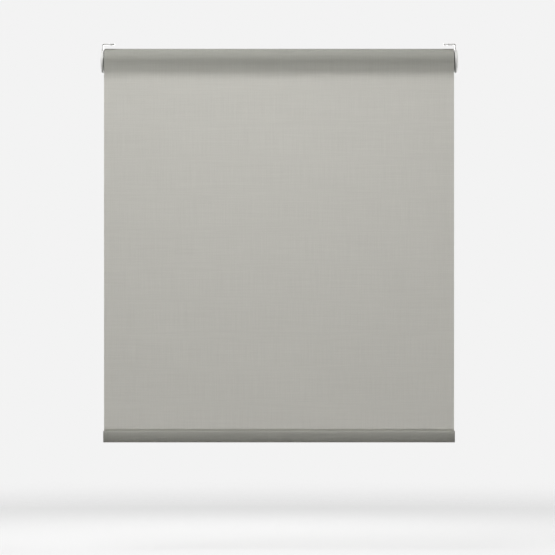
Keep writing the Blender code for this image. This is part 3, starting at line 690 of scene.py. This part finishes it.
def spring_tree(name, material):
    """Geometry Nodes for a wire wound about the X axis, at a given height."""
    tree = bpy.data.node_groups.new(name, "GeometryNodeTree")
    face = tree.interface
    face.new_socket("Geometry", in_out="OUTPUT", socket_type="NodeSocketGeometry")
    for label in ("Start", "End", "Radius", "Turns", "Wire Radius", "Axis Height"):
        face.new_socket(label, in_out="INPUT", socket_type="NodeSocketFloat")
    face.new_socket("Points", in_out="INPUT", socket_type="NodeSocketInt")
    given = add_node(tree, "NodeGroupInput").outputs
    last = add_node(
        tree,
        "ShaderNodeMath",
        links={0: given["Points"]},
        inputs={1: 1.0},
        operation="SUBTRACT",
    ).outputs[0]
    line = add_node(tree, "GeometryNodeCurvePrimitiveLine").outputs[0]
    evenly = {"Curve": line, "Count": given["Points"]}
    wire = add_node(tree, "GeometryNodeResampleCurve", links=evenly).outputs[0]
    index = add_node(tree, "GeometryNodeInputIndex").outputs[0]
    share = add_node(tree, "ShaderNodeMath", links={0: index, 1: last}, operation="DIVIDE").outputs[0]
    turned = add_node(
        tree,
        "ShaderNodeMath",
        links={0: share, 1: given["Turns"]},
        operation="MULTIPLY",
    ).outputs[0]
    angle = add_node(
        tree,
        "ShaderNodeMath",
        links={0: turned},
        inputs={1: math.tau},
        operation="MULTIPLY",
    ).outputs[0]
    ends = {"Value": share, "To Min": given["Start"], "To Max": given["End"]}
    along = add_node(tree, "ShaderNodeMapRange", links=ends).outputs[0]
    sine = add_node(tree, "ShaderNodeMath", links={0: angle}, operation="SINE").outputs[0]
    cosine = add_node(tree, "ShaderNodeMath", links={0: angle}, operation="COSINE").outputs[0]
    across = {0: sine, 1: given["Radius"]}
    y = add_node(tree, "ShaderNodeMath", links=across, operation="MULTIPLY").outputs[0]
    upward = {0: cosine, 1: given["Radius"], 2: given["Axis Height"]}
    z = add_node(tree, "ShaderNodeMath", links=upward, operation="MULTIPLY_ADD").outputs[0]
    spot = add_node(tree, "ShaderNodeCombineXYZ", links={0: along, 1: y, 2: z}).outputs[0]
    moved = add_node(tree, "GeometryNodeSetPosition", links={"Geometry": wire, "Position": spot}).outputs[0]
    section = add_node(
        tree,
        "GeometryNodeCurvePrimitiveCircle",
        links={"Radius": given["Wire Radius"]},
        inputs={"Resolution": WIRE_SIDES},
    )
    swept = {"Curve": moved, "Profile Curve": section.outputs[0]}
    solid = add_node(tree, "GeometryNodeCurveToMesh", links=swept, inputs={"Fill Caps": True})
    real = add_node(tree, "GeometryNodeRealizeInstances", links={"Geometry": solid.outputs[0]})
    coated = add_node(
        tree,
        "GeometryNodeSetMaterial",
        links={"Geometry": real.outputs[0]},
        inputs={"Material": material},
    )
    add_node(tree, "NodeGroupOutput", links={"Geometry": coated.outputs[0]})
    return tree


def build_spring(tree, node, start, end, turns, wire_radius, *bodies):
    """Winds a spring as wide as its CAD node's box, from start to end. One body carries it; with two it rides
    on neither.
    """
    low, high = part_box(node)
    values = {
        "Start": start,
        "End": end,
        "Radius": (high.y - low.y) / 2 - wire_radius,
        "Turns": turns,
        "Wire Radius": wire_radius,
        "Axis Height": AXIS_Z,
        "Points": turns * POINTS_PER_TURN + 1,
    }
    spring = object_of(f"{node}_wire", bmesh.new())
    wound = spring.modifiers.new("winding", "NODES")
    wound.node_group = tree
    for item in tree.interface.items_tree:
        if item.in_out == "INPUT":
            wound[item.identifier] = values[item.name]
    settle(spring, 40)
    bm = bmesh.new()
    bm.from_mesh(spring.data)
    bmesh.ops.recalc_face_normals(bm, faces=bm.faces)
    bm.to_mesh(spring.data)
    bm.free()
    dress(spring, drawn_steel, bodies[0] if len(bodies) == 1 else None)
    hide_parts(node)
    if len(bodies) == 2:
        blend_evenly(spring, *bodies, (start, 0, AXIS_Z), (end, 0, AXIS_Z))


def build_springs():
    tree = spring_tree("wound_spring", drawn_steel)
    low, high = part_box("lift_spring")
    start, end = high.x - LIFT_WIRE, low.x + LIFT_WIRE
    build_spring(tree, "lift_spring", start, end, LIFT_TURNS, LIFT_WIRE, "fixings", "roller")
    low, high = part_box("brake_spring")
    start, end = low.x + BRAKE_WIRE, high.x - BRAKE_TAIL
    build_spring(tree, "brake_spring", start, end, BRAKE_TURNS, BRAKE_WIRE, "roller")
    low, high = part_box("pin_spring")
    start, end = low.x + PIN_WIRE, high.x - PIN_WIRE
    build_spring(tree, "pin_spring", start, end, PIN_TURNS, PIN_WIRE, "sprung_pin", "roller")


# ---- carried-over pieces -------------------------------------------------------------------------
FINISHES = {
    drawn_steel: ("spring_spindle", "spring_rod", "rod_clip", "brake_drum", "bracket_pin"),
    grey_nylon: (
        "pin_bush",
        "spring_anchor",
        "spring_end_plug",
        "pin_end_plug",
        "pin_spring_retainer",
        "spring_carrier",
        "cloth_spline",
    ),
    mill_aluminium: ("roller_tube",),
}


def finish_kept_nodes():
    for material, names in FINISHES.items():
        for name in names:
            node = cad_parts[name]
            node.data.materials.clear()
            node.data.materials.append(material)


# ---- stage ---------------------------------------------------------------------------------------
VIEW_WIDTH = 1.110  # width seen at the cloth
CAMERA_AWAY = 8.0
CAMERA_SPOT = (-0.0031, -CAMERA_AWAY, -0.468)
PALE = "#f3f3f3"
LIGHT_AROUND = 0.165  # strength of the light from all around
LIGHT_LEAN = (0.0, 0.0, 0.13)  # and how much more of it comes from above
FLOOR_Z = -1.02
FLOOR_RADIUS = 5.0
FLOOR_FADE = {"From Min": 0.8, "From Max": 3.2}  # metres from its middle over which the floor fades away
FLOOR_GLOW = 0.45  # share of the background's own brightness, which keeps the shadows on the floor faint
BLIND_MIDDLE = (0, 0, -0.2)
# Name, place, aimed at, size and watts.
LIGHTS = (
    ("room_key", (-0.5, -1.1, 1.2), BLIND_MIDDLE, (1.2, 1.2), 18.0),
    ("window_glow", (0, 1.2, 0.15), BLIND_MIDDLE, (1.1, 0.8), 15.2),
    ("side_fill_left", (-2.6, -0.3, 0.3), (-0.3, 0, -0.1), (1.0, 1.0), 33.0),
    ("side_fill_right", (2.6, -0.3, 0.3), (0.3, 0, -0.1), (1.0, 1.0), 33.0),
    ("overhead", (0, -0.2, 3.2), (0, 0, 0), (3.5, 3.5), 5.0),
)


def soft_light(name, place, target, size, watts):
    lamp = bpy.data.lights.new(name, "AREA")
    lamp.shape = "RECTANGLE"
    lamp.size, lamp.size_y = size
    lamp.energy = watts
    light = bpy.data.objects.new(name, lamp)
    light.location = place
    light.rotation_mode = "QUATERNION"
    light.rotation_quaternion = (Vector(target) - Vector(place)).to_track_quat("-Z", "Y")
    light.visible_camera = False
    bpy.context.scene.collection.objects.link(light)


def build_camera():
    camera_data = bpy.data.cameras.new("camera")
    camera_data.sensor_width = 36.0
    camera_data.lens = camera_data.sensor_width * (CAMERA_AWAY + CLOTH_Y) / VIEW_WIDTH
    camera_data.clip_end = 200
    camera = bpy.data.objects.new("camera", camera_data)
    camera.location = CAMERA_SPOT
    camera.rotation_euler = (math.radians(90), 0, 0)
    bpy.context.scene.collection.objects.link(camera)
    bpy.context.scene.camera = camera


def build_world():
    """Even pale surroundings for the eye, and dimmer light that leans from above for everything else."""
    world = bpy.data.worlds.new("soft_daylight")
    bpy.context.scene.world = world
    world.use_nodes = True
    tree = world.node_tree
    tree.nodes.clear()
    direction = add_node(tree, "ShaderNodeTexCoord").outputs["Generated"]
    lean = add_node(
        tree,
        "ShaderNodeVectorMath",
        links={0: direction},
        inputs={1: LIGHT_LEAN},
        operation="DOT_PRODUCT",
    ).outputs["Value"]
    strength = add_node(tree, "ShaderNodeMath", links={0: lean}, inputs={1: LIGHT_AROUND}, operation="ADD")
    seen = add_node(tree, "ShaderNodeLightPath").outputs["Is Camera Ray"]
    around = add_node(
        tree,
        "ShaderNodeBackground",
        links={"Strength": strength.outputs[0]},
        inputs={"Color": WHITE},
    )
    pale = add_node(tree, "ShaderNodeBackground", inputs={"Color": linear(PALE), "Strength": 1.0})
    shaders = {0: seen, 1: around.outputs[0], 2: pale.outputs[0]}
    both = add_node(tree, "ShaderNodeMixShader", links=shaders)
    add_node(tree, "ShaderNodeOutputWorld", links={"Surface": both.outputs[0]})


def make_floor_paint():
    """Matt pale paint that fades away far out, and that can be seen through from below."""
    material, tree, surface = new_material("matt_pale_floor")
    surface.inputs["Base Color"].default_value = linear("#b4b4b4")
    surface.inputs["Emission Color"].default_value = linear(PALE)
    surface.inputs["Emission Strength"].default_value = FLOOR_GLOW
    surface.inputs["Roughness"].default_value = 0.95
    surface.inputs["Specular IOR Level"].default_value = 0.1
    spot = add_node(tree, "ShaderNodeTexCoord").outputs["Object"]
    away = add_node(tree, "ShaderNodeVectorMath", links={0: spot}, operation="LENGTH").outputs["Value"]
    faded = add_node(
        tree,
        "ShaderNodeMapRange",
        links={"Value": away},
        inputs=FLOOR_FADE,
        interpolation_type="SMOOTHERSTEP",
    ).outputs[0]
    below = add_node(tree, "ShaderNodeNewGeometry").outputs["Backfacing"]
    clear = add_node(tree, "ShaderNodeMath", links={0: faded, 1: below}, operation="MAXIMUM")
    nothing = add_node(tree, "ShaderNodeBsdfTransparent")
    shaders = {0: clear.outputs[0], 1: surface.outputs[0], 2: nothing.outputs[0]}
    both = add_node(tree, "ShaderNodeMixShader", links=shaders)
    tree.links.new(both.outputs[0], tree.nodes["Material Output"].inputs["Surface"])
    return material


def build_stage():
    bpy.context.scene.view_settings.view_transform = "Standard"
    bpy.context.scene.view_settings.look = "None"
    build_camera()
    build_world()
    bm = bmesh.new()
    bmesh.ops.create_circle(bm, cap_ends=True, segments=96, radius=FLOOR_RADIUS)
    bmesh.ops.translate(bm, verts=bm.verts, vec=(0, 0, FLOOR_Z))
    floor = object_of("floor", bm, smooth=False)
    floor.data.materials.append(make_floor_paint())
    floor.visible_diffuse = False
    for light in LIGHTS:
        soft_light(*light)


# ---- the whole blind -----------------------------------------------------------------------------
def main():
    build_stage()
    finish_kept_nodes()
    pocket, pocket_flat = build_pocket()
    sheet, sheet_flat = build_sheet()
    wound, wound_flat = build_wound_cloth()
    build_hem_bar()
    build_hem_cap(-1, "hem_cap_left")
    build_hem_cap(1, "hem_cap_right")
    build_cover(-1, "pin_end_cover")
    build_cover(1, "spring_end_cover")
    for node in ("pin_end_bracket", "spring_end_bracket"):
        build_bracket(node)
    build_springs()


main()
